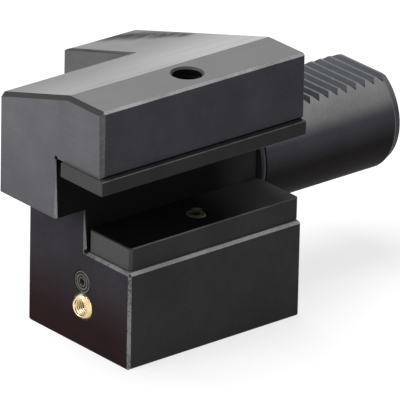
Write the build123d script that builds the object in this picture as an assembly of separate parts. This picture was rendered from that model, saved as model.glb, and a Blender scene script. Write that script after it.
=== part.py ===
from build123d import *
from build123d.topology import SkipClean
import math
import os

# Axial turning-tool holder with a round, toothed shank and an open tool slot.
# X runs along the shank, Z is up, and the slot opens towards -Y.
# The origin is where the shank axis meets the mating face. All sizes are in mm.

# Shank and its rack
shank_d = 40.0
shank_length = 63.0
shank_end_chamfer = 4.4
shank_end_drop = 3.3
rack_across = 36.0
rack_start = 19.5
rack_pitch = 4.0
rack_valley_ref = 29.7
rack_tooth_depth = 1.5
rack_crest_land = 0.4
centre_hole_d = 5.0

# Body, measured from the shank axis and the mating face
body_length = 85.0
flange_t = 28.5
front_out = 40.5
slot_wall_out = 18.5
block_back = 10.5
flange_back = 48.5
top_height = 48.0
bottom_drop = 45.0
flat_top_w = 17.9
top_slope = 16.0
seat_height = 25.0
lower_jaw_drop = 11.2
end_recess = 12.5
overhang_height = 3.7
corner_groove_r = 0.8
edge_big = 1.45
edge_mid = 1.05
edge_small = 0.8
flange_corner = 2.5

# Support plate under the upper jaw
plate_l = 85.0
plate_w = 23.5
plate_t = 5.0
plate_end_out = 1.2
plate_wall_gap = 0.3
plate_edge = 0.25

# Clamp bar on the lower jaw
bar_w = 20.3
bar_t = 8.0
bar_wall_gap = 0.2
bar_end_gap = 0.25
bar_edge = 0.8
bar_travel = 3.6
bar_web = 2.0

# Plate screw in the top hole
top_hole_x = 41.8
top_hole_d = 9.8
top_hole_sink = 0.7
plate_screw_d = 5.0
plate_screw_head_d = 8.5
plate_screw_head_h = 5.0
plate_screw_floor = 6.0
plate_screw_end_gap = 0.8

# Bar screw
bar_screw_head_d = 7.0
bar_screw_head_h = 2.0
bar_screw_shoulder_d = 5.0
bar_screw_thread_d = 4.0
bar_screw_thread_l = 9.0
bar_sink_d = 8.6

# Clamp screws
clamp_screw_d = 10.0
clamp_screw_l = 25.0
clamp_screw_inner = 12.5
clamp_screw_pitch = 14.5
clamp_screw_gap = 0.3
clamp_socket = 5.0

# Ball nozzle, its lock screw and the coolant way
nozzle_y = 17.0
nozzle_z = 30.6
ball_r = 4.9
ball_centre_in = 2.05
ball_flat = 3.7
ball_thread_d = 5.0
ball_thread_l = 5.6
ball_bore_d = 3.0
nozzle_swivel = 4.0
lock_y = 16.3
lock_z = 22.2
lock_head_d = 7.7
lock_screw_d = 4.0
lock_screw_l = 12.0
channel_d = 6.0

# Rubber rings
nozzle_ring_r = 3.9
nozzle_ring_section = 1.6
inlet_ring_section = 1.8
shank_ring_section = 1.8
shank_groove_start = 0.4
shank_groove_w = 1.9
ring_sides = 8

# Clearances, each on the radius or along the axis
thread_play = 0.05
ball_play = 0.05
head_play = 0.2
lock_sink_play = 0.35
ring_play = 0.05
ring_under = 0.02

# Sizes that follow from the ones above
shank_r = shank_d / 2
rack_z = rack_across - shank_r
front_y = -front_out
wall_y = -slot_wall_out
ridge_y = front_y + flat_top_w
bottom_z = -bottom_drop
jaw_z = -lower_jaw_drop
low_end_x = -(body_length - end_recess)
plate_mid_y = wall_y - plate_wall_gap - plate_w / 2
plate_mid_x = -(body_length + plate_end_out) + plate_l / 2
bar_l = body_length - end_recess - 2.0
bar_mid_x = -(bar_end_gap + bar_l / 2)
bar_mid_y = wall_y - bar_wall_gap - bar_w / 2
bar_web_top = jaw_z + bar_web
bar_head_under = bar_web_top + bar_travel + head_play
clamp_top_z = jaw_z - clamp_screw_gap
ball_x = low_end_x + ball_centre_in
ball_seat_r = ball_r + ball_play
ring_mid_out = ball_r + ring_play + nozzle_ring_section / 2
nozzle_ring_x = ball_x + math.sqrt(ring_mid_out**2 - nozzle_ring_r**2)
ball_pocket_x = nozzle_ring_x + nozzle_ring_section / 2
shank_groove_r = shank_r - shank_ring_section - ring_under
shank_root_r = slot_wall_out - 1.0
inlet_ring_r = channel_d / 2 + 0.4 + inlet_ring_section / 2


def top_at(y):
    return top_height - math.tan(math.radians(top_slope)) * (y - ridge_y)


def prism(points, x_from, x_to):
    outline = Plane.YZ.offset(x_from) * make_face(Polyline(*points, close=True))
    return extrude(outline, x_to - x_from)


def rod_x(y, z, r, x_from, x_to):
    turn = Pos((x_from + x_to) / 2, y, z) * Rot(0, 90, 0)
    return turn * Cylinder(r, x_to - x_from)


def rod_z(x, y, r, z_from, z_to):
    return Pos(x, y, (z_from + z_to) / 2) * Cylinder(r, z_to - z_from)


def cone_z(x, y, r_low, r_high, z_from, z_to):
    return Pos(x, y, (z_from + z_to) / 2) * Cone(r_low, r_high, z_to - z_from)


def hex_socket(across, depth):
    return extrude(RegularPolygon(across / 2, 6, major_radius=False), depth)


def edges_in(shape, x=(-900, 900), y=(-900, 900), z=(-900, 900)):
    found = []
    for edge in shape.edges():
        box = edge.bounding_box()
        ranges = ((box.min.X, box.max.X, x), (box.min.Y, box.max.Y, y), (box.min.Z, box.max.Z, z))
        if all(low > span[0] - 0.01 and high < span[1] + 0.01 for low, high, span in ranges):
            found.append(edge)
    return found


def at(value):
    return (value, value)


def raw_body():
    section = [
        (front_y, top_height),
        (ridge_y, top_height),
        (block_back, top_at(block_back)),
        (block_back, bottom_z),
        (front_y, bottom_z),
        (front_y, jaw_z),
        (wall_y, jaw_z),
        (wall_y, seat_height),
        (front_y, seat_height),
    ]
    flange = [
        (wall_y + 5, top_at(wall_y + 5)),
        (flange_back, top_at(flange_back)),
        (flange_back, bottom_z),
        (wall_y + 5, bottom_z),
    ]
    body = prism(section, -body_length, 0) + prism(flange, -flange_t, 0)
    below = [
        (front_y - 1, bottom_z - 1),
        (block_back + 1, bottom_z - 1),
        (block_back + 1, overhang_height),
        (front_y - 1, overhang_height),
    ]
    return body - prism(below, -body_length - 1, low_end_x)


def bevel_edges(body):
    end = at(-body_length)
    low_end = at(low_end_x)
    under = edges_in(body, y=at(front_y), z=at(seat_height))
    under += edges_in(body, x=end, y=(front_y, wall_y), z=at(seat_height))
    under += edges_in(body, x=end, y=at(wall_y))
    body = chamfer(under, edge_mid)
    corner = edges_in(body, y=at(flange_back), z=at(top_at(flange_back)))
    corner += edges_in(body, y=at(flange_back), z=at(bottom_z))
    body = chamfer(corner, flange_corner)
    upper = edges_in(body, x=end, y=at(front_y))
    upper += edges_in(body, x=end, y=(front_y + 0.1, block_back), z=(top_at(block_back), top_height))
    upper += edges_in(body, x=end, y=at(block_back))
    upper += edges_in(body, y=at(front_y), z=at(top_height))
    body = chamfer(upper, edge_big)
    jaw = edges_in(body, x=low_end, y=(front_y, wall_y), z=at(jaw_z))
    jaw += edges_in(body, y=at(front_y), z=at(jaw_z))
    jaw += edges_in(body, x=low_end, y=at(front_y))
    jaw += edges_in(body, x=low_end, y=at(wall_y))
    body = chamfer(jaw, edge_mid)
    low = edges_in(body, x=low_end, y=at(block_back))
    low += edges_in(body, x=(-body_length, -1), y=(front_y, block_back), z=at(bottom_z))
    body = chamfer(low, edge_small)
    step = edges_in(body, x=at(-flange_t), y=(block_back, flange_back))
    step = [edge for edge in step if edge.bounding_box().max.Y > block_back + 1]
    body = chamfer(step, edge_small)
    return chamfer(edges_in(body, x=at(0)), edge_small)


def shank():
    end_r = shank_r - shank_end_drop
    groove_end = shank_groove_start + shank_groove_w
    outline = [
        (-2, 0),
        (-2, shank_root_r),
        (0, shank_root_r),
        (0, shank_r),
        (shank_groove_start, shank_r),
        (shank_groove_start, shank_groove_r),
        (groove_end, shank_groove_r),
        (groove_end, shank_r),
        (rack_start, shank_r),
        (shank_length - shank_end_chamfer, shank_r),
        (shank_length, end_r),
        (shank_length, centre_hole_d),
        (shank_length - centre_hole_d, centre_hole_d / 2),
        (shank_length - 2 * centre_hole_d, centre_hole_d / 2),
        (shank_length - 2.4 * centre_hole_d, 0),
    ]
    face = Plane.XY * make_face(Polyline(*outline, close=True))
    rack = rack_cut()
    # the plain stretch that guides the shank stays a face of its own
    with SkipClean():
        return revolve(face, Axis.X, clean=False) - rack


# The rack takes the most skill: every tooth space sits on one pitch line,
# counted from the mating face, so the clamping wedge pulls the shank home.
def rack_cut():
    half_w = (rack_pitch - rack_crest_land) / 2
    flat = Box(shank_length, shank_d, shank_d)
    cut = Pos(rack_start + shank_length / 2, 0, rack_z + shank_r) * flat
    first = math.ceil((rack_start + half_w - rack_valley_ref) / rack_pitch)
    last = math.floor((shank_length - rack_pitch - rack_valley_ref) / rack_pitch)
    for step in range(first, last + 1):
        x = rack_valley_ref + step * rack_pitch
        vee = [
            (x - half_w, rack_z),
            (x, rack_z - rack_tooth_depth),
            (x + half_w, rack_z),
            (x, rack_z + 1),
        ]
        face = Plane.XZ.offset(-shank_r - 1) * make_face(Polyline(*vee, close=True))
        cut += extrude(face, shank_d + 2)
    return cut


def corner_grooves():
    upper = rod_x(wall_y, seat_height, corner_groove_r, -body_length - 1, 1)
    lower = rod_x(wall_y, jaw_z, corner_groove_r, low_end_x - 1, 1)
    return upper + lower


def top_hole():
    x = -top_hole_x
    floor = seat_height + plate_screw_floor
    r = top_hole_d / 2
    hole = rod_z(x, plate_mid_y, r, floor, top_height + 1)
    hole += cone_z(x, plate_mid_y, r, r + top_hole_sink, top_height - top_hole_sink, top_height)
    hole += rod_z(x, plate_mid_y, plate_screw_d / 2 + head_play, seat_height - 1, floor)
    return hole


def clamp_screw_places():
    inner = clamp_screw_inner
    outer = clamp_screw_inner + clamp_screw_pitch
    return [bar_mid_x - outer, bar_mid_x - inner, bar_mid_x + inner, bar_mid_x + outer]


def jaw_holes():
    r = clamp_screw_d / 2 + thread_play
    thread_r = bar_screw_thread_d / 2 + thread_play
    depth = bar_screw_thread_l + 1
    holes = rod_z(bar_mid_x, bar_mid_y, thread_r, jaw_z - depth, jaw_z + 1)
    for x in clamp_screw_places():
        holes += rod_z(x, bar_mid_y, r, bottom_z - 1, jaw_z + 1)
        holes += cone_z(x, bar_mid_y, r + 0.8, r, bottom_z, bottom_z + 0.8)
    return holes


def nozzle_pocket():
    y = -nozzle_y
    z = -nozzle_z
    mouth_r = math.sqrt(ball_seat_r**2 - ball_centre_in**2)
    pocket = Pos(ball_x, y, z) * Sphere(ball_seat_r)
    pocket += rod_x(y, z, ball_seat_r, ball_x, ball_pocket_x)
    pocket += Pos(low_end_x, y, z) * Rot(0, 90, 0) * Cone(mouth_r + 0.65, mouth_r - 0.2, 0.8)
    pocket += rod_x(y, z, channel_d / 2, ball_x, 1)
    inlet_r = inlet_ring_r + inlet_ring_section / 2 + 0.1
    pocket += rod_x(y, z, inlet_r, -inlet_ring_section - ring_under, 1)
    return pocket


def lock_screw_profile(play):
    r = lock_screw_d / 2 + thread_play * play
    head_r = lock_head_d / 2 + lock_sink_play * play
    rim = 0.5 + lock_sink_play * play
    return r, head_r, rim


def lock_hole():
    r, head_r, rim = lock_screw_profile(1)
    y = -lock_y
    z = -lock_z
    drop = head_r - r
    cone_x = low_end_x + rim + drop / 2
    hole = rod_x(y, z, r, low_end_x, low_end_x + lock_screw_l + 1)
    hole += rod_x(y, z, head_r, low_end_x - 1, low_end_x + rim)
    hole += Pos(cone_x, y, z) * Rot(0, 90, 0) * Cone(head_r, r, drop)
    return hole


def make_body():
    body = bevel_edges(raw_body())
    body -= corner_grooves() + top_hole() + jaw_holes()
    body -= nozzle_pocket()
    body -= lock_hole()
    stem = shank()
    with SkipClean():
        return body + stem


def make_support_plate():
    mid_z = seat_height - plate_t / 2
    plate = Pos(plate_mid_x, plate_mid_y, mid_z) * Box(plate_l, plate_w, plate_t)
    plate = chamfer(plate.edges(), plate_edge)
    bore = rod_z(-top_hole_x, plate_mid_y, plate_screw_d / 2 + thread_play, 0, seat_height + 1)
    return plate - bore


def make_plate_screw():
    x = -top_hole_x
    floor = seat_height + plate_screw_floor
    end = seat_height - plate_t + plate_screw_end_gap
    head_r = plate_screw_head_d / 2
    head = Pos(0, 0, plate_screw_head_h / 2) * Cylinder(head_r, plate_screw_head_h)
    head = chamfer(head.edges().group_by(Axis.Z)[-1], 0.4)
    depth = plate_screw_head_h / 2
    head -= Pos(0, 0, plate_screw_head_h - depth) * hex_socket(plate_screw_d * 0.8, depth + 1)
    stem = rod_z(x, plate_mid_y, plate_screw_d / 2, end, floor)
    return Pos(x, plate_mid_y, floor) * head + stem


def make_clamp_bar():
    bar = Pos(bar_mid_x, bar_mid_y, jaw_z + bar_t / 2) * Box(bar_l, bar_w, bar_t)
    bar = chamfer(bar.edges(), bar_edge)
    bar -= rod_z(bar_mid_x, bar_mid_y, bar_sink_d / 2, bar_web_top, jaw_z + bar_t + 1)
    shoulder_r = bar_screw_shoulder_d / 2 + head_play
    return bar - rod_z(bar_mid_x, bar_mid_y, shoulder_r, jaw_z - 1, bar_web_top)


def make_bar_screw():
    low = jaw_z - bar_screw_thread_l
    top = bar_head_under + bar_screw_head_h
    head_r = bar_screw_head_d / 2
    head = rod_z(0, 0, head_r, bar_head_under, top)
    head = chamfer(head.edges().group_by(Axis.Z)[-1], 0.3)
    head -= Pos(0, 0, top - 1.5) * hex_socket(bar_screw_thread_d * 0.75, 2)
    screw = head + rod_z(0, 0, bar_screw_shoulder_d / 2, jaw_z, bar_head_under)
    screw += rod_z(0, 0, bar_screw_thread_d / 2, low, jaw_z)
    return Pos(bar_mid_x, bar_mid_y, 0) * screw


def make_clamp_screw(x):
    r = clamp_screw_d / 2
    screw = Cylinder(r, clamp_screw_l)
    screw = chamfer(screw.edges().group_by(Axis.Z)[0], 1.0)
    socket = Pos(0, 0, -clamp_screw_l / 2) * hex_socket(clamp_socket, clamp_socket)
    return Pos(x, bar_mid_y, clamp_top_z - clamp_screw_l / 2) * (screw - socket)


def make_nozzle_ball():
    ball = Sphere(ball_r)
    ball -= Pos(0, 0, ball_flat + ball_r) * Box(4 * ball_r, 4 * ball_r, 2 * ball_r)
    ball -= rod_z(0, 0, ball_bore_d / 2, -2 * ball_r, ball_r)
    ball -= rod_z(0, 0, ball_thread_d / 2, ball_flat - ball_thread_l, ball_r)
    mouth = ball_thread_d / 2
    ball -= cone_z(0, 0, mouth, mouth + 0.4, ball_flat - 0.4, ball_flat)
    place = Pos(ball_x, -nozzle_y, -nozzle_z) * Rot(0, 0, nozzle_swivel)
    return place * Rot(0, -90, 0) * ball


def make_lock_screw():
    r, head_r, rim = lock_screw_profile(0)
    drop = head_r - r
    screw = Pos(0, 0, -rim / 2) * Cylinder(head_r, rim)
    screw = chamfer(screw.edges().group_by(Axis.Z)[-1], 0.2)
    screw += Pos(0, 0, -rim - drop / 2) * Cone(r, head_r, drop)
    screw += Pos(0, 0, -lock_screw_l / 2) * Cylinder(r, lock_screw_l)
    screw -= Pos(0, 0, -1.8) * hex_socket(lock_screw_d * 0.625, 2)
    return Pos(low_end_x, -lock_y, -lock_z) * Rot(0, -90, 0) * screw


def ring_x(x, y, z, mid_r, section):
    outline = RegularPolygon(section / 2, ring_sides, major_radius=False, rotation=180 / ring_sides)
    turned = revolve(Plane.XY * Pos(0, mid_r) * outline, Axis.X)
    return Pos(x, y, z) * turned


def make_parts():
    seal_r = nozzle_ring_section
    parts = {
        "body": make_body(),
        "support_plate": make_support_plate(),
        "plate_screw": make_plate_screw(),
        "clamp_bar": make_clamp_bar(),
        "bar_screw": make_bar_screw(),
        "nozzle_ball": make_nozzle_ball(),
        "nozzle_lock_screw": make_lock_screw(),
    }
    for number, x in enumerate(clamp_screw_places(), 1):
        parts[f"clamp_screw_{number}"] = make_clamp_screw(x)
    y = -nozzle_y
    z = -nozzle_z
    inlet_x = -ring_under - inlet_ring_section / 2
    groove_x = shank_groove_start + shank_groove_w / 2
    mid_r = shank_groove_r + shank_ring_section / 2
    parts["nozzle_ring"] = ring_x(nozzle_ring_x, y, z, nozzle_ring_r, seal_r)
    parts["inlet_ring"] = ring_x(inlet_x, y, z, inlet_ring_r, inlet_ring_section)
    parts["shank_ring"] = ring_x(groove_x, 0, 0, mid_r, shank_ring_section)
    return parts


os.makedirs("parts", exist_ok=True)
for name, shape in make_parts().items():
    export_step(shape, f"parts/{name}.step")
    print(name, round(shape.volume, 1), shape.is_valid)
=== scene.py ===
# How a black steel tool holder with a brass ball nozzle looks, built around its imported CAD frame.
# The frame is that of the CAD, in metres: X along the shank, the slot opens to -Y, Z is up.
# The sizes in the dictionaries are in millimetres.
import bpy, math
from mathutils import Matrix, Vector


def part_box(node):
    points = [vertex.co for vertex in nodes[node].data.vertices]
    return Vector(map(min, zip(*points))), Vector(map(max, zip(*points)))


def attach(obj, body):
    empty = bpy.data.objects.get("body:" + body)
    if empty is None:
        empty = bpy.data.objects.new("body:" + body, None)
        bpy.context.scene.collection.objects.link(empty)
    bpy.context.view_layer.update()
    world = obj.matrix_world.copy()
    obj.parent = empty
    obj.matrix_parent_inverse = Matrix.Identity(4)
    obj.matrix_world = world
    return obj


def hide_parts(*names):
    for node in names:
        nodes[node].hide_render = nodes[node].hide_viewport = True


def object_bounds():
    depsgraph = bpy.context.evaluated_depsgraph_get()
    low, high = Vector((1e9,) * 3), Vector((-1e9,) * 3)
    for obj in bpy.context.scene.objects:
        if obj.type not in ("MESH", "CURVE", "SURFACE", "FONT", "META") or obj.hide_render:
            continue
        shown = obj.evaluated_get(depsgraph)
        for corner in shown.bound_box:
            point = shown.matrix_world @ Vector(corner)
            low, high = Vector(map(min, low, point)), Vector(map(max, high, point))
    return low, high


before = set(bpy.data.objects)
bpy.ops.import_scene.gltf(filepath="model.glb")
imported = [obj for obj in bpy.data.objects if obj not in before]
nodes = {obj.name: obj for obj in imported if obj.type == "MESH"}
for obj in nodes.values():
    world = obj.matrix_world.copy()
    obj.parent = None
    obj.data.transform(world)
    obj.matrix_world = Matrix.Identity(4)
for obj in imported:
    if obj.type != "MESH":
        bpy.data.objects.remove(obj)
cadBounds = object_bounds()
bpy.context.scene.view_settings.view_transform = "Standard"
mm = 0.001
print("frame loaded,", len(nodes), "nodes")


# shader maths and finishes
class Wire:
    # one output of a shader node, with the sums that the finishes use
    def __init__(self, finish, socket):
        self.finish, self.socket = finish, socket

    def sum(self, operation, *values):
        return self.finish.add("ShaderNodeMath", {"operation": operation}, values)

    def __add__(self, other):
        return self.sum("ADD", self, other)

    def __sub__(self, other):
        return self.sum("SUBTRACT", self, other)

    def __rsub__(self, other):
        return self.sum("SUBTRACT", other, self)

    def __mul__(self, other):
        return self.sum("MULTIPLY", self, other)

    def __gt__(self, other):
        return self.sum("GREATER_THAN", self, other)

    def __lt__(self, other):
        return self.sum("LESS_THAN", self, other)

    def __or__(self, other):
        return self.sum("MAXIMUM", self, other)

    __radd__, __rmul__ = __add__, __mul__


class Finish:
    # the nodes of one material, world or floor
    def __init__(self, tree):
        self.tree = tree
        self.tree.nodes.clear()

    def add(self, kind, settings=None, values=(), out=0):
        node = self.tree.nodes.new(kind)
        for key, value in (settings or {}).items():
            setattr(node, key, value)
        pairs = values.items() if isinstance(values, dict) else enumerate(values)
        for key, value in pairs:
            if isinstance(value, Wire):
                self.tree.links.new(value.socket, node.inputs[key])
            else:
                node.inputs[key].default_value = value
        return Wire(self, node.outputs[out])

    def readPlace(self):
        self.place = self.add("ShaderNodeTexCoord", out="Object")
        self.normal = self.add("ShaderNodeTexCoord", out="Normal")
        self.x, self.y, self.z = (self.add("ShaderNodeSeparateXYZ", {}, [self.place], out=k) for k in range(3))

    def noise(self, scale, stretch=(1, 1, 1), detail=3.0, rough=0.5):
        # scale in waves per metre before the stretch
        where = self.add("ShaderNodeMapping", {}, {"Vector": self.place, "Scale": stretch})
        values = {"Vector": where, "Scale": scale, "Detail": detail, "Roughness": rough}
        return self.add("ShaderNodeTexNoise", {}, values)

    def fromAxis(self, centre, along):
        # distance from an axis through centre
        flat = [0.0 if part else 1.0 for part in along]
        middle = [c * mm for c in centre]
        arm = self.add("ShaderNodeVectorMath", {"operation": "SUBTRACT"}, [self.place, middle])
        arm = self.add("ShaderNodeVectorMath", {"operation": "MULTIPLY"}, [arm, flat])
        return self.add("ShaderNodeVectorMath", {"operation": "LENGTH"}, [arm], out="Value")

    def rings(self, centre, along, wave):
        # turned or milled rings round an axis through centre, one wave each so many millimetres
        turns = self.fromAxis(centre, along) * (2 * math.pi / (wave * mm))
        return self.add("ShaderNodeMath", {"operation": "SINE"}, [turns]) * 0.5 + 0.5

    def spot(self, centre, reach):
        # soft round place, 1 in the middle, sizes in millimetres
        values = [self.place, [c * mm for c in centre]]
        far = self.add("ShaderNodeVectorMath", {"operation": "DISTANCE"}, values, out="Value")
        return self.between(far, reach * mm, 0.0)

    def between(self, value, low, high):
        # smooth step from 0 to 1 as a value goes from low to high
        settings = {"interpolation_type": "SMOOTHSTEP"}
        return self.add("ShaderNodeMapRange", settings, [value, low, high, 0.0, 1.0])

    def facing(self, direction, least=0.93):
        # 1 where the surface faces this way, within the angle whose cosine is least
        values = [self.normal, list(Vector(direction).normalized())]
        along = self.add("ShaderNodeVectorMath", {"operation": "DOT_PRODUCT"}, values, out="Value")
        return self.between(along, least, least + (1 - least) * 0.4)

    def inside(self, mask, zone):
        for axis in "xyz":
            if axis in zone:
                low, high = zone[axis]
                value = getattr(self, axis)
                mask = mask * (value > low * mm) * (value < high * mm)
        return mask

    def mix(self, factor, first, second):
        return self.add("ShaderNodeMix", {"data_type": "RGBA"}, {0: factor, 6: first, 7: second}, out=2)

    def blend(self, factor, first, second):
        return self.add("ShaderNodeMix", {"data_type": "FLOAT"}, {0: factor, 2: first, 3: second})

    def tint(self, colour, amount):
        settings = {"data_type": "RGBA", "blend_type": "MULTIPLY"}
        return self.add("ShaderNodeMix", settings, {0: 1.0, 6: colour, 7: (amount, amount, amount, 1.0)}, out=2)

    def bump(self, height, depth):
        return self.add("ShaderNodeBump", {}, {"Height": height, "Distance": depth * mm})

    def shader(self, values):
        return self.add("ShaderNodeBsdfPrincipled", {}, values)

    def close(self, surface, output="ShaderNodeOutputMaterial"):
        end = self.tree.nodes.new(output)
        self.tree.links.new(surface.socket, end.inputs["Surface"])


def newFinish(name):
    material = bpy.data.materials.new(name)
    material.use_nodes = True
    finish = Finish(material.node_tree)
    finish.readPlace()
    return material, finish


def srgb(red, green, blue):
    # a colour as read off a picture, 0 to 255, made linear
    def line(value):
        value = value / 255
        return value / 12.92 if value <= 0.04045 else ((value + 0.055) / 1.055) ** 2.4

    return (line(red), line(green), line(blue), 1.0)


def grey(value):
    return srgb(value, value, value + 1)


# Zones of the steel pieces. Each has the way it faces, its range in millimetres along the axes
# that matter, its colour, some of it painted light or shade, its sheen, and how patchy an edge's wear or
# painted shade is.
# A fade goes from the first colour to the second along one axis.
level, sloping = (0, 0, 1), (0, 0.276, 0.961)
left, front, back, under, rear = (-1, 0, 0), (0, -1, 0), (0, 1, 0), (0, 0, -1), (1, 0, 0)
bodyZones = {
    "flatTop": {"facing": level, "least": 0.99, "z": (47, 49), "colour": grey(91), "sheen": 1},
    # painted highlight: the slope is painted light, fading darker towards its rear edge
    "slope": {
        "facing": sloping, "least": 0.99, "colour": grey(124), "sheen": 1,
        "fade": ("y", -18, 11, grey(84)),
    },
    "upperEnd": {
        "facing": left, "x": (-86, -84), "colour": srgb(96, 96, 101), "sheen": 0.6,
        "fade": ("z", 36, 0, srgb(82, 81, 87)),
    },
    "flangeLeft": {"facing": left, "x": (-29, -28), "z": (-50, 50), "colour": srgb(98, 97, 98), "sheen": 0.6},
    "lowerEnd": {
        "facing": left, "x": (-73, -72), "colour": srgb(60, 57, 62), "sheen": 0,
        "fade": ("z", -14, -40, srgb(40, 24, 25)),
    },
    "upperFront": {"facing": front, "y": (-41, -40), "z": (24, 49), "colour": srgb(84, 83, 90), "sheen": 0},
    "lowerFront": {"facing": front, "y": (-41, -40), "z": (-46, -10), "colour": srgb(72, 72, 73), "sheen": 0},
    # painted shade on the slot's back wall, lightening towards the shank end
    "slotWallShade": {
        "facing": front, "y": (-18.6, -17), "z": (-12, 26), "colour": grey(16), "sheen": 0,
        "fade": ("x", -22, -4, grey(62)),
    },
    # painted shade inside the top hole, on its wall and thread
    "topHole": {
        "facing": level, "least": -1.5, "x": (-47.3, -36.3), "y": (-36, -25), "z": (24, 47.98),
        "colour": grey(12), "sheen": 0,
    },
    "topSink": {
        "facing": level, "least": 0.3, "x": (-47.7, -35.9), "y": (-36.5, -24.6), "z": (47.3, 47.98),
        "colour": grey(66), "sheen": 0.2,
    },
    # painted shade on the slot's roof under the upper jaw
    "slotRoofShade": {"facing": under, "z": (24, 26), "colour": grey(18), "sheen": 0},
    "jawTop": {"facing": level, "z": (-12, -10), "colour": grey(120), "sheen": 0.5},
    "backFace": {"facing": back, "colour": srgb(74, 74, 78), "sheen": 0.5},
    "underside": {"facing": under, "z": (-46, -44), "colour": srgb(62, 60, 62), "sheen": 0.3},
    "rearFace": {"facing": rear, "x": (-1, 0.4), "colour": srgb(92, 92, 95), "sheen": 0.6},
}
bodyEdges = {
    "endTop": {"facing": (-1, 0, 1), "x": (-86, -82), "z": (30, 49), "colour": grey(44), "patchy": 0.2},
    "flangeTop": {"facing": (-1, 0, 1), "x": (-30, -26), "z": (30, 49), "colour": grey(52), "patchy": 0.5},
    "endFront": {"facing": (-1, -1, 0), "x": (-86, -83), "z": (10, 49), "colour": grey(104), "patchy": 0.5},
    "wallUpper": {
        "facing": (-1, -1, 0), "x": (-86, -83), "y": (-19, -16.5),
        "colour": grey(146), "patchy": 0.3,
    },
    "wallLower": {
        "facing": (-1, -1, 0), "x": (-74, -71), "y": (-19, -16.5),
        "colour": grey(146), "patchy": 0.3,
    },
    "frontTop": {"facing": (0, -1, 1), "y": (-42, -39), "z": (40, 49), "colour": grey(176), "patchy": 0.3},
    "lowerUpright": {
        "facing": (-1, -1, 0), "x": (-74, -71), "z": (-46, -10),
        "colour": grey(150), "patchy": 0.9,
    },
    "jawEnd": {"facing": (-1, 0, 1), "x": (-74, -71), "z": (-14, -8), "colour": grey(146), "patchy": 0.6},
    "jawFront": {"facing": (0, -1, 1), "y": (-42, -39), "z": (-14, -8), "colour": grey(206), "patchy": 0.15},
    # painted shade on the bevels that face down
    "frontUnderShade": {"facing": (0, -1, -1), "y": (-42, -39), "colour": grey(7), "patchy": 0},
    "endUnderShade": {"facing": (-1, 0, -1), "colour": grey(30), "patchy": 0.4},
}
shankZones = {
    # painted light and shade on the round of the shank: dark as painted shade where it faces down, lighter and
    # with a painted highlight where it faces up
    "round": {"facing": level, "least": -1.5, "x": (0.1, 64), "colour": srgb(36, 32, 31), "sheen": 0},
    "shoulderLight": {"facing": level, "least": -0.25, "x": (0.1, 64), "colour": srgb(84, 84, 92), "sheen": 0},
    "crownHighlight": {"facing": level, "least": 0.25, "x": (0.1, 64), "colour": srgb(140, 140, 141), "sheen": 0.4},
    # the left flanks of the rack fade darker towards the block as painted shade
    "flankLeft": {
        "facing": (-1, 0, 1), "x": (17, 62.5), "z": (13, 17), "colour": srgb(80, 84, 90), "sheen": 0.15,
        "fade": ("x", 44, 26, srgb(44, 47, 52)),
    },
    # painted shade along the lower part of the left flanks, down in the valleys
    "flankValleyShade": {"facing": (-1, 0, 1), "x": (17, 61), "z": (13, 15.0), "colour": grey(40), "sheen": 0.1},
    "flankRight": {
        "facing": (1, 0, 1), "x": (17, 62.5), "z": (13, 17),
        "colour": srgb(58, 61, 66), "sheen": 0.2,
    },
    "crest": {"facing": level, "least": 0.995, "x": (17, 64), "z": (16, 17), "colour": grey(104), "sheen": 0.3},
    "lead": {"facing": (1, 0, 0), "least": 0.2, "x": (58.2, 63.2), "colour": srgb(88, 88, 92), "sheen": 0.1},
    "leadLine": {
        "facing": level, "least": -1.5, "x": (58.0, 58.4), "z": (-20, 14.4),
        "colour": grey(132), "sheen": 0.3,
    },
}
plateZones = {
    "end": {"facing": left, "colour": grey(70), "sheen": 0.2},
    "front": {"facing": front, "colour": grey(58), "sheen": 0},
    "top": {"facing": level, "least": 0.99, "colour": grey(60), "sheen": 0.3},
    "under": {"facing": under, "colour": grey(40), "sheen": 0},
}
plateEdges = {
    "line": {"facing": (0, -1, 1), "colour": grey(120), "patchy": 0.5},
    "endLine": {"facing": (-1, 0, 1), "colour": grey(70), "patchy": 0.6},
    "corner": {"facing": (-1, -1, 0), "colour": grey(84), "patchy": 0.5},
}
barZones = {
    "end": {"facing": left, "colour": grey(76), "sheen": 0.3},
    "front": {"facing": front, "colour": grey(66), "sheen": 0},
    # painted shade on the bar's top under the upper jaw, lightening towards the shank
    "top": {"facing": level, "least": 0.99, "colour": grey(14), "sheen": 0, "fade": ("x", -34, -6, grey(76))},
    # painted shade inside the bore for the bar's screw
    "boreWallShade": {
        "facing": level, "least": -1.5, "x": (-39.9, -31.1), "y": (-33.3, -24.4), "z": (-12, -3.25),
        "colour": grey(8), "sheen": 0,
    },
    "counterbore": {"facing": level, "least": 0.99, "z": (-10.5, -5), "colour": srgb(60, 58, 48), "sheen": 0.4},
}
barEdges = {
    "line": {"facing": (0, -1, 1), "colour": grey(112), "patchy": 0.5},
    "endLine": {"facing": (-1, 0, 1), "colour": grey(40), "patchy": 0.5},
    "corner": {"facing": (-1, -1, 0), "colour": grey(70), "patchy": 0.5},
}
blackenedLook = {
    "colour": srgb(66, 66, 70),
    "sheenRough": 0.36,
    "dullRough": 0.7,
    "streakDepth": 0.004,
    "ringCentre": (0, 150, -60),
    "ringWave": 1.7,
}
hardenedLook = {
    "colour": srgb(56, 56, 55),
    "sheenRough": 0.4,
    "dullRough": 0.5,
    "streakDepth": 0.003,
    "ringCentre": (0, 90, 40),
    "ringWave": 2.3,
}
steelNoise = {  # waves per metre
    "streaks": 1400,
    "crossed": 1700,
    "cloud": 60,
    "grain": 2600,
    "scratch": 420,
    "speckle": 1500,
}


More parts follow.
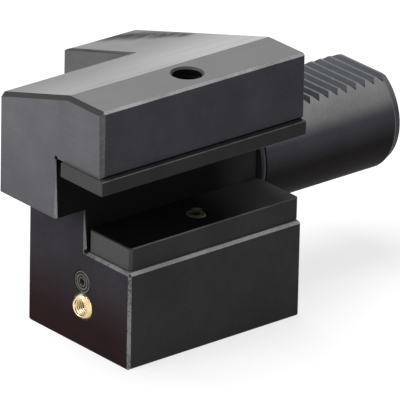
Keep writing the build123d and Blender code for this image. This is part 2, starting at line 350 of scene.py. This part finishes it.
def zonedSteel(name, look, zones, edges, marksAndHighlights=None):
    material, f = newFinish(name)
    streaks = f.noise(steelNoise["streaks"], (0.02, 1, 1), detail=4.0, rough=0.65)  # along X
    crossed = f.noise(steelNoise["crossed"], (1, 0.03, 0.6), detail=3.0, rough=0.6)  # along Y
    cloud = f.noise(steelNoise["cloud"], detail=4.0, rough=0.62)
    grain = f.noise(steelNoise["grain"], detail=2.0)
    scratch = f.between(f.noise(steelNoise["scratch"], (0.035, 1, 1), detail=2.0), 0.66, 0.72)
    sweep = f.rings(look["ringCentre"], (1, 0, 0), look["ringWave"])
    colour, sheen = look["colour"], 0.3
    for zone in zones.values():
        mask = f.inside(f.facing(zone["facing"], zone.get("least", 0.93)), zone)
        shade = zone["colour"]
        if "fade" in zone:
            axis, start, end, second = zone["fade"]
            shade = f.mix(f.between(getattr(f, axis), start * mm, end * mm), shade, second)
        colour = f.mix(mask, colour, shade)
        sheen = f.blend(mask, sheen, zone["sheen"])
    speckle = f.noise(steelNoise["speckle"], detail=4.0, rough=0.7) * 0.6 + cloud * 0.4
    speckle = f.between(speckle, 0.42, 0.56)
    for edge in edges.values():
        mask = f.inside(f.facing(edge["facing"], 0.9), edge)
        mask = mask * f.blend(edge["patchy"], 1.0, speckle)
        colour = f.mix(mask, colour, edge["colour"])
    upward = f.facing(level, 0.9)
    aside = f.facing(left, 0.9)
    # painted highlights and real marks, where a piece has them
    if marksAndHighlights:
        colour, sheen = marksAndHighlights(f, colour, sheen)
    plain = cloud * 0.5 + grain * 0.3 + crossed * 0.2
    shade = f.blend(upward, plain, streaks * 0.5 + cloud * 0.3 + grain * 0.2) + aside * (sweep - 0.5) * 0.04
    colour = f.mix(f.between(shade, 0.32, 0.72), f.tint(colour, 0.78), f.tint(colour, 1.2))
    colour = f.mix(scratch * upward * 0.35, colour, f.tint(colour, 1.7))
    rough = look["sheenRough"] + (streaks - 0.5) * 0.2 + (cloud - 0.5) * 0.14
    height = streaks * (upward + 0.25) + grain * 0.3 + crossed * aside * 0.5 + sweep * aside * 0.15
    normal = f.bump(height, look["streakDepth"])
    common = {"Base Color": colour, "Normal": normal}
    glossy = f.shader({**common, "Roughness": rough, "Specular IOR Level": 0.5})
    dull = f.shader({**common, "Roughness": look["dullRough"], "Specular IOR Level": 0.06})
    f.close(f.add("ShaderNodeMixShader", {}, [sheen, dull, glossy]))
    return material


blotches = [  # middle and reach in millimetres, along the rear edge of the slope
    ((-12, 46, 28), 10), ((-9, 39, 30), 11), ((-7, 31, 33), 10), ((-5, 24, 35), 8), ((-4, 17, 37), 6),
]


def slopeHighlightAndBlotches(f, colour, sheen):
    # painted highlight: the slope is painted lightest by the ridge and towards the shank, with a painted light
    # line along the ridge, and dark blotches by its rear edge
    slope = f.facing(sloping, 0.99)
    light = f.between(f.x, -70 * mm, -4 * mm) * f.between(f.y, 26 * mm, -14 * mm)
    colour = f.mix(slope * light * 0.6, colour, grey(176))
    ridge = f.inside(slope, {"y": (-22.9, -22.2)})
    colour = f.mix(ridge * 0.3, colour, grey(205))
    streak = f.noise(900, (0.03, 1, 1), detail=3.0, rough=0.6)
    colour = f.mix(slope * f.between(streak, 0.5, 0.66) * 0.35, colour, grey(66))
    blot = f.between(f.noise(260, (0.35, 1, 1), detail=5.0, rough=0.65), 0.26, 0.5)
    for centre, reach in blotches:
        stain = f.spot(centre, reach) * blot * slope
        colour = f.mix(stain, colour, grey(36))
        sheen = f.blend(stain, sheen, 0.05)
    return colour, sheen


def turnedSteel(name, look):
    # blackened screw with turned rings on its head
    material, f = newFinish(name)
    grain = f.noise(3000, detail=3.0)
    cloud = f.noise(300, detail=3.0)
    rings = f.rings(look["centre"], look["axis"], look["wave"])
    shade = grain * 0.4 + cloud * 0.4 + rings * look["ringShare"]
    low, high = 0.25 + look["ringShare"] * 0.6, 0.75 + look["ringShare"] * 0.3
    colour = f.mix(f.between(shade, low, high), look["dark"], look["light"])
    rough = 0.36 + (grain - 0.5) * 0.2
    normal = f.bump(grain * 0.5 + rings * look["ringShare"], 0.006)
    values = {"Base Color": colour, "Roughness": rough, "Metallic": 0.2, "Specular IOR Level": look["gloss"]}
    f.close(f.shader({**values, "Normal": normal}))
    return material


screwLooks = {
    "plain": {
        "centre": (0, 0, 0), "axis": (0, 0, 1), "wave": 0.7, "ringShare": 0.0,
        "dark": grey(34), "light": grey(66), "gloss": 0.3,
    },
    "lock": {
        "centre": (0, -16.3, -22.2), "axis": (1, 0, 0), "wave": 1.1, "ringShare": 0.5,
        "dark": srgb(26, 25, 25), "light": srgb(112, 110, 106), "gloss": 0.1,
    },
    "bar": {
        "centre": (-35.5, -28.85, 0), "axis": (0, 0, 1), "wave": 0.9, "ringShare": 0.3,
        "dark": srgb(30, 30, 22), "light": srgb(146, 140, 92), "gloss": 0.4,
    },
}
# painted shade in the thread of the ball's bore
ballThreadShade = {  # the thread in the ball, dark between its crests and its roots
    "centre": (0, -17.1, -30.6),
    "mouth": -74,
    "radius": 3.0,
    "crest": 2.52,
    "root": 2.76,
}


def turnedBrass():
    material, f = newFinish("turnedBrass")
    cloud = f.noise(420, detail=3.0)
    grain = f.noise(5200, detail=2.0)
    stain = f.between(f.noise(700, detail=4.0, rough=0.7), 0.52, 0.68)
    colour = f.mix(f.between(cloud, 0.35, 0.7), srgb(244, 212, 152), srgb(255, 240, 208))
    colour = f.mix(stain * 0.2, colour, srgb(150, 104, 46))
    # painted shade between the crests of the thread inside the ball's bore
    far = f.fromAxis(ballThreadShade["centre"], (1, 0, 0))
    bore = (far < ballThreadShade["radius"] * mm) * (f.x > ballThreadShade["mouth"] * mm)
    groove = f.between(far, ballThreadShade["crest"] * mm, ballThreadShade["root"] * mm)
    colour = f.mix(bore * groove, colour, srgb(92, 54, 16))
    rough = 0.22 + (grain - 0.5) * 0.12 + stain * 0.1
    values = {"Base Color": colour, "Roughness": rough, "Metallic": 0.92}
    f.close(f.shader({**values, "Normal": f.bump(grain, 0.002)}))
    return material


def sealRubber():
    material, f = newFinish("sealRubber")
    grain = f.noise(2400, detail=4.0)
    colour = f.mix(grain, srgb(22, 22, 23), srgb(38, 38, 39))
    values = {"Base Color": colour, "Roughness": 0.55 + grain * 0.2, "Normal": f.bump(grain, 0.008)}
    f.close(f.shader(values))
    return material


def dress(piece, material):
    piece.data.materials.clear()
    piece.data.materials.append(material)


bodyMaterial = zonedSteel("blackSteel", blackenedLook, {**bodyZones, **shankZones}, bodyEdges, slopeHighlightAndBlotches)
screwMaterials = {name: turnedSteel(name + "ScrewSteel", look) for name, look in screwLooks.items()}
brassMaterial = turnedBrass()
rubberMaterial = sealRubber()
plateMaterials = {
    "hardenedPlate": zonedSteel("plateSteel", hardenedLook, plateZones, plateEdges),
    "clampingBar": zonedSteel("barSteel", hardenedLook, barZones, barEdges),
}
for node in nodes:
    if "screw" in node:
        dress(nodes[node], screwMaterials["plain"])
dress(nodes["nozzle_lock_screw"], screwMaterials["lock"])
dress(nodes["bar_screw"], screwMaterials["bar"])
print("materials dressed")


# pieces with detail that the solids leave out
def deselect():
    bpy.ops.object.select_all(action="DESELECT")


def editFaces(piece, pick):
    # into edit mode with only the faces selected whose middle and normal the test takes
    bpy.context.view_layer.objects.active = piece
    piece.select_set(True)
    bpy.ops.object.mode_set(mode="OBJECT")
    mesh = piece.data
    for part in (mesh.vertices, mesh.edges, mesh.polygons):
        part.foreach_set("select", [False] * len(part))
    for face in mesh.polygons:
        face.select = pick(face.center, face.normal)
    bpy.ops.object.mode_set(mode="EDIT")
    bpy.ops.mesh.select_mode(type="FACE")


def settle(piece, smooth=12):
    # place and turn go into the mesh, and the shading is smooth up to an angle in degrees
    bpy.ops.object.mode_set(mode="OBJECT")
    deselect()
    piece.select_set(True)
    bpy.context.view_layer.objects.active = piece
    bpy.ops.object.transform_apply(location=True, rotation=True, scale=True)
    bpy.ops.object.shade_smooth_by_angle(angle=math.radians(smooth))


def applyModifier(piece, kind, **settings):
    modifier = piece.modifiers.new(kind.lower(), kind)
    for key, value in settings.items():
        setattr(modifier, key, value)
    bpy.ops.object.modifier_apply(modifier=modifier.name)


ridgeRoot, ridgeHalf = 0.06, 0.46  # how deep a thread sits in its wall in mm, and half its height in pitches


def threadRidge(name, thread):
    # helical ridge on the wall of a bore along Z, from the bottom up
    deselect()
    bpy.ops.mesh.primitive_circle_add(vertices=3, radius=1, fill_type="NOTHING", location=(0, 0, 0))
    ridge = bpy.context.object
    ridge.name = name
    # the triangle stands up in the XZ plane with its tip towards the axis and its root in the wall
    root, half = thread["wall"] + ridgeRoot, thread["pitch"] * ridgeHalf
    corners = [(root, 0, half), (thread["crest"], 0, 0), (root, 0, -half)]
    for vertex, corner in zip(ridge.data.vertices, corners):
        vertex.co = [value * mm for value in corner]
    applyModifier(
        ridge, "SCREW", axis="Z", angle=2 * math.pi, iterations=thread["turns"],
        steps=thread["steps"], render_steps=thread["steps"],
        screw_offset=thread["pitch"] * mm, use_normal_calculate=True,
    )
    bpy.ops.object.mode_set(mode="EDIT")
    bpy.ops.mesh.select_all(action="SELECT")
    bpy.ops.mesh.fill_holes(sides=3)
    bpy.ops.mesh.select_all(action="SELECT")
    bpy.ops.mesh.normals_make_consistent(inside=False)
    bpy.ops.object.mode_set(mode="OBJECT")
    return ridge


ballLook = {
    "centre": (-70.45, -17.0, -30.6),
    "turn": 4.0,
    "radius": 4.9,
    "flat": 3.7,
    "rim": 3.02,
    "boreDepth": 5.6,
    "throat": 1.5,
    "throatDepth": 2.6,
    "thread": {"wall": 2.86, "crest": 2.45, "pitch": 0.8, "turns": 6, "steps": 48},
}


def buildBall():
    # made round the origin with its mouth up, then laid along -X into its seat
    look = ballLook
    radius, flat = look["radius"] * mm, look["flat"] * mm
    deselect()
    bpy.ops.mesh.primitive_uv_sphere_add(segments=96, ring_count=64, radius=radius, location=(0, 0, 0))
    ball = bpy.context.object
    ball.name = "threadedBall"
    bpy.ops.object.mode_set(mode="EDIT")
    bpy.ops.mesh.select_all(action="SELECT")
    bpy.ops.mesh.bisect(plane_co=(0, 0, flat), plane_no=(0, 0, 1), use_fill=True, clear_outer=True)
    flatRadius = math.sqrt(look["radius"] ** 2 - look["flat"] ** 2)
    editFaces(ball, lambda middle, normal: normal.z > 0.999 and middle.z > flat - 0.01 * mm)
    bpy.ops.mesh.inset(thickness=(flatRadius - look["rim"]) * mm)
    # countersink, threaded wall, floor and throat
    wall = look["thread"]["wall"]
    steps = [(-0.22, wall / look["rim"]), (-look["boreDepth"], 1.0), (-0.3, look["throat"] / wall)]
    for drop, scale in steps + [(-look["throatDepth"], 1.0)]:
        bpy.ops.mesh.extrude_region_move(TRANSFORM_OT_translate={"value": (0, 0, drop * mm)})
        bpy.ops.transform.resize(value=(scale, scale, 1), center_override=(0, 0, 0))
    bpy.ops.object.mode_set(mode="OBJECT")
    ridge = threadRidge("ballThread", look["thread"])
    depth = look["thread"]["pitch"] * look["thread"]["turns"]
    ridge.location.z = flat - (depth + 0.35) * mm
    deselect()
    ridge.select_set(True)
    ball.select_set(True)
    bpy.context.view_layer.objects.active = ball
    bpy.ops.object.join()
    ball.rotation_euler = (0, math.radians(-90), math.radians(look["turn"]))
    ball.location = [value * mm for value in look["centre"]]
    settle(ball, smooth=30)
    dress(ball, brassMaterial)
    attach(ball, "nozzle")
    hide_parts("nozzle_ball")


threads = {
    "topHoleThread": {
        "at": (-41.8, -30.55, 37.6), "wall": 4.9, "crest": 4.5, "pitch": 1.0, "turns": 8, "steps": 48,
    },
}
for number, x in enumerate((-62.5, -48.0, -23.0, -8.5), 1):
    threads["jawThread" + str(number)] = {
        "at": (x, -28.85, -43.9), "wall": 5.05, "crest": 4.45, "pitch": 1.25, "turns": 5, "steps": 40,
    }


def buildThreads():
    for name, thread in threads.items():
        ridge = threadRidge(name, thread)
        ridge.location = [value * mm for value in thread["at"]]
        settle(ridge, smooth=30)
        dress(ridge, bodyMaterial)
        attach(ridge, "base")


def addBox(name, low, high):
    # box between two corners in millimetres
    deselect()
    centre = [(start + end) / 2 * mm for start, end in zip(low, high)]
    size = [(end - start) * mm for start, end in zip(low, high)]
    bpy.ops.mesh.primitive_cube_add(size=1, location=centre, scale=size)
    box = bpy.context.object
    box.name = name
    bpy.ops.object.transform_apply(location=True, rotation=True, scale=True)
    return box


def turnSolid(name, along, at, steps, vertices=64):
    # closed round solid along X or Z, drawn out through steps of place and radius
    def spot(value):
        return [part * mm for part in ((value, *at) if along == "x" else (*at, value))]

    deselect()
    place, radius = steps[0]
    bpy.ops.mesh.primitive_circle_add(
        vertices=vertices, radius=radius * mm, fill_type="NGON", location=spot(place),
        rotation=(0, math.pi / 2, 0) if along == "x" else (0, 0, 0),
    )
    solid = bpy.context.object
    solid.name = name
    bpy.ops.object.transform_apply(location=True, rotation=True, scale=True)
    bpy.ops.object.mode_set(mode="EDIT")
    bpy.ops.mesh.select_all(action="SELECT")
    # half a facet round, so that no corner lies in a plane of the block
    bpy.ops.transform.rotate(value=math.pi / vertices, orient_axis=along.upper(), center_override=spot(place))
    for nextPlace, nextRadius in steps[1:]:
        move, scale = (nextPlace - place) * mm, nextRadius / radius
        value = (move, 0, 0) if along == "x" else (0, 0, move)
        bpy.ops.mesh.extrude_region_move(TRANSFORM_OT_translate={"value": value})
        value = (1, scale, scale) if along == "x" else (scale, scale, 1)
        bpy.ops.transform.resize(value=value, center_override=spot(nextPlace))
        place, radius = nextPlace, nextRadius
    bpy.ops.mesh.select_all(action="SELECT")
    bpy.ops.mesh.normals_make_consistent(inside=False)
    bpy.ops.object.mode_set(mode="OBJECT")
    return solid


def combine(piece, tool, operation="DIFFERENCE"):
    deselect()
    bpy.context.view_layer.objects.active = piece
    piece.select_set(True)
    applyModifier(piece, "BOOLEAN", operation=operation, object=tool, solver="EXACT")
    bpy.data.objects.remove(tool)


def bevelEdges(piece, width, pick, segments=1):
    # bevels the edges whose two ends, in millimetres, pass the test
    deselect()
    bpy.context.view_layer.objects.active = piece
    piece.select_set(True)
    mesh = piece.data
    for part in (mesh.vertices, mesh.edges, mesh.polygons):
        part.foreach_set("select", [False] * len(part))
    for edge in mesh.edges:
        ends = [mesh.vertices[index].co / mm for index in edge.vertices]
        edge.select = pick(*ends)
    bpy.ops.object.mode_set(mode="EDIT")
    bpy.ops.mesh.select_mode(type="EDGE")
    bpy.ops.mesh.bevel(
        offset=width * mm, offset_type="OFFSET", segments=segments, profile=0.5, affect="EDGES",
        clamp_overlap=False,
    )
    bpy.ops.object.mode_set(mode="OBJECT")


tolerance = 0.02  # within which a corner counts as lying in a plane, in millimetres


def near(value, target):
    return abs(value - target) < tolerance


def both(first, second, axis, target):
    return near(first[axis], target) and near(second[axis], target)


holder = {
    "end": -85.0,
    "lowEnd": -72.5,
    "flangeStart": -28.5,
    "front": -40.5,
    "wall": -17.6,
    "back": 10.85,
    "flangeBack": 48.5,
    "top": 48.0,
    "seat": 25.0,
    "overhang": 3.7,
    "jaw": -11.2,
    "bottom": -45.0,
    "ridge": -22.6,
    "slope": 16.0,
    "cornerRadius": 3.7,
    "groove": 0.8,
}
bevels = {
    "end": 1.4,
    "wall": 0.9,
    "rear": 0.75,
    "top": 0.8,
    "frontTop": 0.8,
    "jaw": 0.9,
    "under": 0.8,
    "slight": 0.5,
}
# the way each hole runs, its two other coordinates, then its steps of place and radius
jawHoles = {
    "jawHole" + str(number): ("z", (x, -28.85), [(-46, 6.85), (-44.2, 5.05), (-10, 5.05)])
    for number, x in enumerate((-62.5, -48.0, -23.0, -8.5), 1)
}
holderHoles = {
    "topHole": ("z", (-41.8, -30.55), [(24, 2.7), (31, 2.7), (31, 4.9), (47.3, 4.9), (49, 6.6)]),
    "barScrewHole": ("z", (-35.5, -28.85), [(-21.2, 2.05), (-10, 2.05)]),
    "nozzleBore": ("x", (-17, -30.6), [
        (-73.5, 5.79), (-72.36, 4.58), (-72.0, 4.7), (-71.4, 4.857), (-70.45, 4.95), (-65.42, 4.95),
        (-65.42, 3.0), (-1.82, 3.0), (-1.82, 5.3), (1, 5.3),
    ]),
    "lockSink": ("x", (-16.3, -22.2), [(-73.5, 4.2), (-71.66, 4.2), (-69.5, 2.05), (-59.5, 2.05)]),
}
stemSteps = [  # x and radius along the shank
    (-2, 16.6), (-0.01, 16.6), (-0.01, 20), (0.4, 20), (0.4, 18.18), (2.3, 18.18), (2.3, 20), (58.2, 20),
    (61.1, 18.8), (63, 13.6), (63, 5), (58, 2.5), (53, 2.5),
]
rack = {"start": 19.5, "crest": 16.2, "firstValley": 21.7, "pitch": 4.0, "half": 1.56, "teeth": 11}


def buildBlock():
    # block and flange as one L from above, then its slope, recess and slot
    h = holder
    block = addBox("holderBody", (h["end"], h["front"], h["bottom"]), (0, h["back"], h["top"]))
    editFaces(block, lambda middle, normal: True)
    bpy.ops.mesh.bisect(plane_co=(h["flangeStart"] * mm, 0, 0), plane_no=(1, 0, 0))
    editFaces(block, lambda middle, normal: normal.y > 0.9 and middle.x > h["flangeStart"] * mm)
    depth = (h["flangeBack"] - h["back"]) * mm
    bpy.ops.mesh.extrude_region_move(TRANSFORM_OT_translate={"value": (0, depth, 0)})
    bpy.ops.mesh.select_all(action="SELECT")
    tilt = math.radians(h["slope"])
    bpy.ops.mesh.bisect(
        plane_co=(0, h["ridge"] * mm, h["top"] * mm), plane_no=(0, math.sin(tilt), math.cos(tilt)),
        use_fill=True, clear_outer=True,
    )
    bpy.ops.object.mode_set(mode="OBJECT")
    low = (h["end"] - 1, h["front"] - 1, h["bottom"] - 1)
    combine(block, addBox("recess", low, (h["lowEnd"], h["back"] + 1, h["overhang"])))
    combine(block, addBox("slot", (h["end"] - 1, h["front"] - 1, h["jaw"]), (1, h["wall"], h["seat"])))
    editFaces(block, lambda middle, normal: True)
    bpy.ops.mesh.dissolve_limited(angle_limit=math.radians(0.5))
    bpy.ops.mesh.select_all(action="SELECT")
    bpy.ops.mesh.normals_make_consistent(inside=False)
    bpy.ops.object.mode_set(mode="OBJECT")
    return block


def bevelBlock(block):
    h, w = holder, bevels
    bevelEdges(block, w["under"], lambda a, b: both(a, b, 1, h["front"]) and both(a, b, 2, h["seat"]))
    bevelEdges(block, w["wall"], lambda a, b: both(a, b, 0, h["end"]) and both(a, b, 1, h["wall"]))
    bevelEdges(
        block, w["top"],
        lambda a, b: both(a, b, 0, h["flangeStart"]) and min(a.y, b.y) > h["back"] - 0.1 and abs(a.y - b.y) > 5
        and min(a.z, b.z) > 0,
    )
    bevelEdges(block, h["cornerRadius"], lambda a, b: both(a, b, 1, h["flangeBack"]) and abs(a.x - b.x) > 5, 8)
    bevelEdges(
        block, w["end"],
        lambda a, b: both(a, b, 0, h["end"]) and (both(a, b, 1, h["front"]) or min(a.z, b.z) > 35),
    )
    bevelEdges(block, w["frontTop"], lambda a, b: both(a, b, 1, h["front"]) and both(a, b, 2, h["top"]))
    bevelEdges(
        block, w["jaw"],
        lambda a, b: (both(a, b, 0, h["lowEnd"]) and (both(a, b, 2, h["jaw"]) or both(a, b, 1, h["front"])))
        or (both(a, b, 0, h["lowEnd"]) and both(a, b, 1, h["wall"]))
        or (both(a, b, 1, h["front"]) and both(a, b, 2, h["jaw"])),
    )
    bevelEdges(
        block, w["slight"],
        lambda a, b: both(a, b, 2, h["bottom"]) and min(a.x, b.x) < -3 and max(a.y, b.y) < h["back"] + 0.1
        and (both(a, b, 0, h["lowEnd"]) or both(a, b, 1, h["front"]) or both(a, b, 1, h["back"])),
    )
    bevelEdges(block, w["rear"], lambda a, b: both(a, b, 0, 0))
    # flat triangles only, which the cuts need to stay closed
    editFaces(block, lambda middle, normal: True)
    bpy.ops.mesh.quads_convert_to_tris(quad_method="BEAUTY", ngon_method="BEAUTY")
    bpy.ops.object.mode_set(mode="OBJECT")


def drill(block, holes):
    for name, (along, at, steps) in holes.items():
        combine(block, turnSolid(name, along, at, steps))


def drillBlock(block):
    h = holder
    for z, start in ((h["seat"], h["end"]), (h["jaw"], h["lowEnd"])):
        steps = [(start - 1, h["groove"]), (1, h["groove"])]
        combine(block, turnSolid("cornerGroove", "x", (h["wall"], z), steps, 40))
    drill(block, holderHoles)


def turnStem():
    # round shank with its rack cut across
    stem = turnSolid("shankStem", "x", (0, 0), stemSteps, 160)
    combine(stem, addBox("rackFlat", (rack["start"], -21, rack["crest"]), (64, 21, 21)))
    lastValley = rack["firstValley"] + rack["pitch"] * (rack["teeth"] - 1)
    combine(stem, addBox("rackTip", (lastValley, -21, rack["crest"] - rack["half"]), (64, 21, 21)))
    side = rack["half"] * math.sqrt(2)
    low = (rack["firstValley"] - side / 2, -21, rack["crest"] - side / 2)
    cutter = addBox("rackCutter", low, (low[0] + side, 21, low[2] + side))
    bpy.ops.object.mode_set(mode="EDIT")
    bpy.ops.mesh.select_all(action="SELECT")
    middle = (rack["firstValley"] * mm, 0, rack["crest"] * mm)
    bpy.ops.transform.rotate(value=math.pi / 4, orient_axis="Y", center_override=middle)
    bpy.ops.object.mode_set(mode="OBJECT")
    applyModifier(
        cutter, "ARRAY", count=rack["teeth"], use_relative_offset=False, use_constant_offset=True,
        constant_offset_displace=(rack["pitch"] * mm, 0, 0),
    )
    combine(stem, cutter)
    return stem


def ridePiece(piece, body, node, material):
    dress(piece, material)
    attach(piece, body)
    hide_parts(node)


def buildHolder():
    block = buildBlock()
    drill(block, jawHoles)
    bevelBlock(block)
    drillBlock(block)
    combine(block, turnStem(), "UNION")
    settle(block)
    ridePiece(block, "base", "body", bodyMaterial)


plates = {
    "hardenedPlate": {
        "low": (-86.2, -42.3, 20.0), "high": (-0.6, -21.3, 25.0), "corner": 0.25, "edge": 0.25,
        "holes": [((-41.8, -30.55), [(19, 2.55), (26, 2.55)])], "node": "support_plate", "body": "base",
    },
    "clampingBar": {
        "low": (-71.1, -39.0, -11.2), "high": (-0.1, -17.8, -3.2), "corner": 0.9, "edge": 0.35,
        "holes": [((-35.5, -28.85), [(-12, 2.7), (-9.2, 2.7), (-9.2, 4.3), (-3, 4.3)])],
        "node": "clamp_bar", "body": "bar",
    },
}


def buildPlates():
    for name, plate in plates.items():
        slab = addBox(name, plate["low"], plate["high"])
        bevelEdges(slab, plate["corner"], lambda a, b: abs(a.z - b.z) > 1)
        bevelEdges(slab, plate["edge"], lambda a, b: near(a.z, b.z))
        for at, steps in plate["holes"]:
            combine(slab, turnSolid("plateHole", "z", at, steps))
        settle(slab)
        ridePiece(slab, plate["body"], plate["node"], plateMaterials[name])


rubberRings = ("nozzle_ring", "inlet_ring", "shank_ring")


def buildRings():
    # a round section spun about the ring's axis, which lies along X
    for node in rubberRings:
        low, high = (Vector(corner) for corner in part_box(node))
        centre = (low + high) / 2
        section = (high.x - low.x) / 2
        middle = (high.z - low.z) / 2 - section
        deselect()
        bpy.ops.mesh.primitive_circle_add(
            vertices=20, radius=section, location=centre + Vector((0, 0, middle)), rotation=(math.pi / 2, 0, 0)
        )
        ring = bpy.context.object
        ring.name = node + "Round"
        bpy.ops.object.mode_set(mode="EDIT")
        bpy.ops.mesh.select_all(action="SELECT")
        bpy.ops.mesh.spin(steps=96, angle=2 * math.pi, center=centre, axis=(1, 0, 0))
        bpy.ops.mesh.select_all(action="SELECT")
        bpy.ops.mesh.remove_doubles(threshold=0.01 * mm)
        bpy.ops.mesh.normals_make_consistent(inside=False)
        settle(ring, smooth=60)
        dress(ring, rubberMaterial)
        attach(ring, "base")
        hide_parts(node)


buildBall()
print("ball nozzle built")
buildHolder()
buildPlates()
print("holder, plate and bar built")
buildThreads()
buildRings()
print("threads and rings built")


# camera, light and floor
view = {
    "azimuth": -40.22,
    "elevation": 23.3,
    "roll": 1.22,
    "distance": 2.3929,
    "side": -0.00731,
    "rise": -0.01625,
    "pixelsPerMetre": 3030.0,
    "centre": (200.8, 199.7),
    "frameWidth": 400,
    "sensor": 36,
    "farEnd": 20,
}


def placeCamera():
    a, e, roll = (math.radians(view[key]) for key in ("azimuth", "elevation", "roll"))
    ahead = Vector((-math.sin(a) * math.cos(e), math.cos(a) * math.cos(e), -math.sin(e)))
    across = Vector((math.cos(a), math.sin(a), 0))
    above = across.cross(ahead)
    right = across * math.cos(roll) + above * math.sin(roll)
    up = above * math.cos(roll) - across * math.sin(roll)
    eye = -ahead * view["distance"] + right * view["side"] + up * view["rise"]
    data = bpy.data.cameras.new("photoCamera")
    camera = bpy.data.objects.new("photoCamera", data)
    bpy.context.scene.collection.objects.link(camera)
    turn = Matrix((right, up, -ahead)).transposed().to_4x4()
    camera.matrix_world = Matrix.Translation(eye) @ turn
    data.sensor_width = view["sensor"]
    width = view["frameWidth"]
    data.lens = view["sensor"] * view["pixelsPerMetre"] * view["distance"] / width
    data.shift_x = (width / 2 - view["centre"][0]) / width
    data.shift_y = (view["centre"][1] - width / 2) / width
    data.clip_end = view["farEnd"]
    bpy.context.scene.camera = camera


lamps = {
    "overhead": {"at": (-0.1, 0.3, 0.9), "size": 0.7, "power": 9.0},
    "leftSide": {"at": (-0.9, 0.1, 0.35), "size": 0.5, "power": 4.5},
    "frontFill": {"at": (-0.1, -1.1, 0.5), "size": 0.6, "power": 2.3},
}


def placeLamps():
    aim = Vector((-0.03, 0, 0))
    for name, lamp in lamps.items():
        data = bpy.data.lights.new(name, "AREA")
        data.size = lamp["size"]
        data.energy = lamp["power"]
        light = bpy.data.objects.new(name, data)
        bpy.context.scene.collection.objects.link(light)
        light.location = lamp["at"]
        light.rotation_euler = (aim - light.location).to_track_quat("-Z", "Y").to_euler()


worldGlow = (0.13, 0.13, 0.135, 1)  # what the world gives as light
seenWorld = (1, 1, 1, 1)  # what it looks like to the rays that see it
floorPaint = (0.35, 0.35, 0.35, 1)
floorSize = 8
floorGlow = 0.75  # what the floor adds for the camera, so that it shows white with a faint shadow
seenRays = ("Is Camera Ray", "Is Glossy Ray", "Is Transmission Ray")


def seenWhite(f, strength):
    # strength where the camera, a reflection or glass looks, and nothing for the light it gives
    camera, glossy, glass = (f.add("ShaderNodeLightPath", out=kind) for kind in seenRays)
    return (camera | glossy | glass) * strength


def placeWorld():
    world = bpy.data.worlds.new("studio")
    bpy.context.scene.world = world
    world.use_nodes = True
    f = Finish(world.node_tree)
    glow = f.add("ShaderNodeBackground", {}, {"Color": worldGlow})
    white = f.add("ShaderNodeBackground", {}, {"Color": seenWorld})
    f.close(f.add("ShaderNodeMixShader", {}, [seenWhite(f, 1.0), glow, white]), "ShaderNodeOutputWorld")


def placeFloor():
    deselect()
    bpy.ops.mesh.primitive_plane_add(size=floorSize, location=(0, 0, cadBounds[0][2]))
    floor = bpy.context.object
    floor.name = "floor"
    material = bpy.data.materials.new("paleFloor")
    material.use_nodes = True
    f = Finish(material.node_tree)
    paint = f.add("ShaderNodeBsdfDiffuse", {}, {"Color": floorPaint})
    glow = f.add("ShaderNodeEmission", {}, {"Strength": seenWhite(f, floorGlow)})
    f.close(f.add("ShaderNodeAddShader", {}, [paint, glow]))
    floor.data.materials.append(material)


placeCamera()
placeLamps()
placeWorld()
placeFloor()
print("camera, lamps and floor placed")
